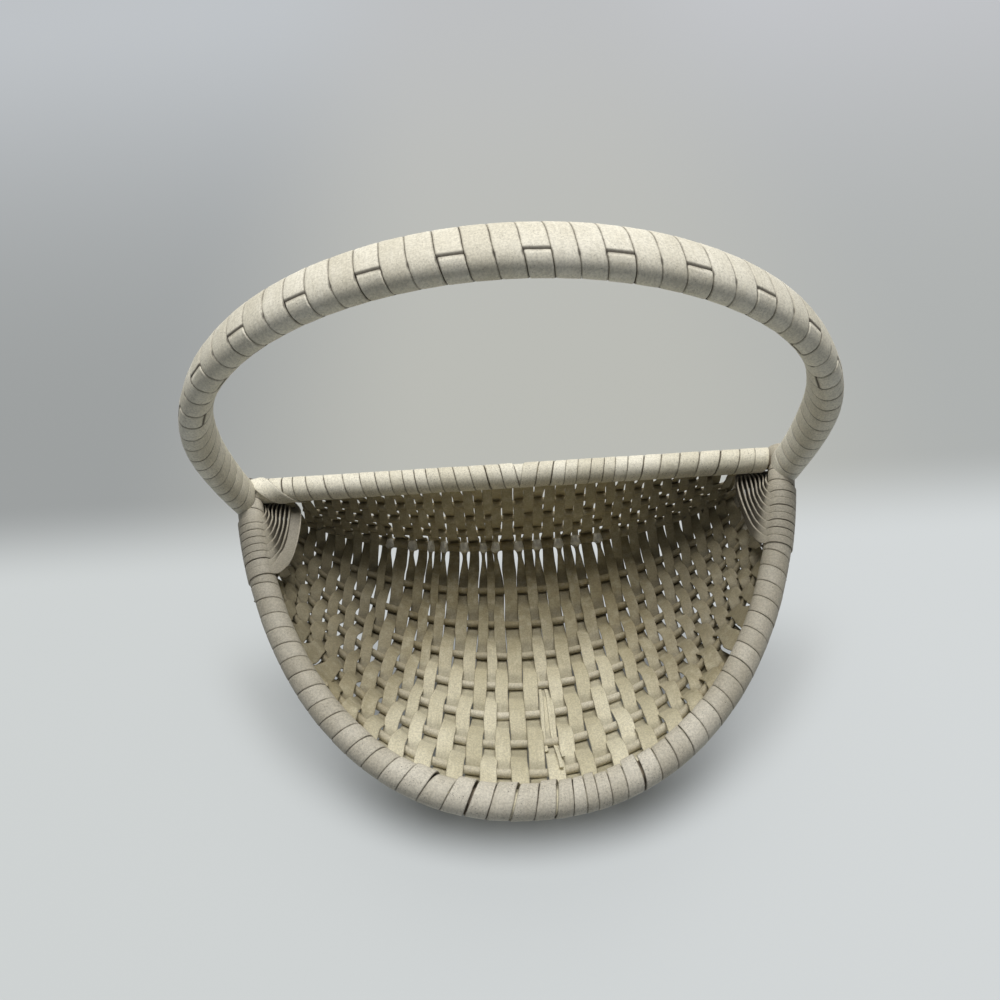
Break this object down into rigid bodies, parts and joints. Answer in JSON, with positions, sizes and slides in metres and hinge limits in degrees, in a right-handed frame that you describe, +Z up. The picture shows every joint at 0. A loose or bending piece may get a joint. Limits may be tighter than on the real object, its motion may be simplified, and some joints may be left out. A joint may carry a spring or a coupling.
{
  "type": "hanging wall basket",
  "caption": "Half-round woven reed wall basket with a straight bound back bar, a bowed front rim and an arched handle for hanging it flat against a wall.",
  "frame": {"origin": "middle of the back bar, on the flat rear of its binding, which lies against the wall", "axes": "+X to the basket's right seen from the front, +Y back into the wall, +Z up along the wall"},
  "size_m": [0.3247, 0.1868, 0.2476],
  "materials": {
    "painted_binding": "matte off-white paint over flat reed",
    "painted_weave": "thin matte off-white paint over flat reed",
    "painted_rod": "thin matte off-white paint over round reed"
  },
  "bodies": {
    "root": {"bar_binding_left": "painted_binding", "bar_binding_right": "painted_binding", "corner_lashing_left": "painted_binding", "corner_lashing_right": "painted_binding", "rim_binding_left": "painted_binding", "rim_binding_right": "painted_binding", "handle_binding_left": "painted_binding", "handle_binding_crown": "painted_binding", "handle_binding_right": "painted_binding", "handle_listing_front": "painted_binding", "handle_listing_rear": "painted_binding", "weaver_01": "painted_weave", "weaver_02": "painted_weave", "weaver_03": "painted_weave", "weaver_04": "painted_weave", "weaver_05": "painted_weave", "weaver_06": "painted_weave", "weaver_07": "painted_weave", "weaver_08": "painted_weave", "weaver_09": "painted_weave", "weaver_10": "painted_weave", "weaver_11": "painted_weave", "weaver_12": "painted_weave", "seam_rod": "painted_rod", "back_rib_1": "painted_rod", "back_rib_2": "painted_rod", "back_rib_3": "painted_rod", "bowl_rib_1": "painted_rod", "bowl_rib_2": "painted_rod", "bowl_rib_3": "painted_rod", "bowl_rib_4": "painted_rod", "bowl_rib_5": "painted_rod", "bowl_rib_6": "painted_rod", "bowl_rib_7": "painted_rod", "back_bar": "painted_rod", "front_rim": "painted_rod", "handle_core": "painted_rod"}
  },
  "joints": []
}
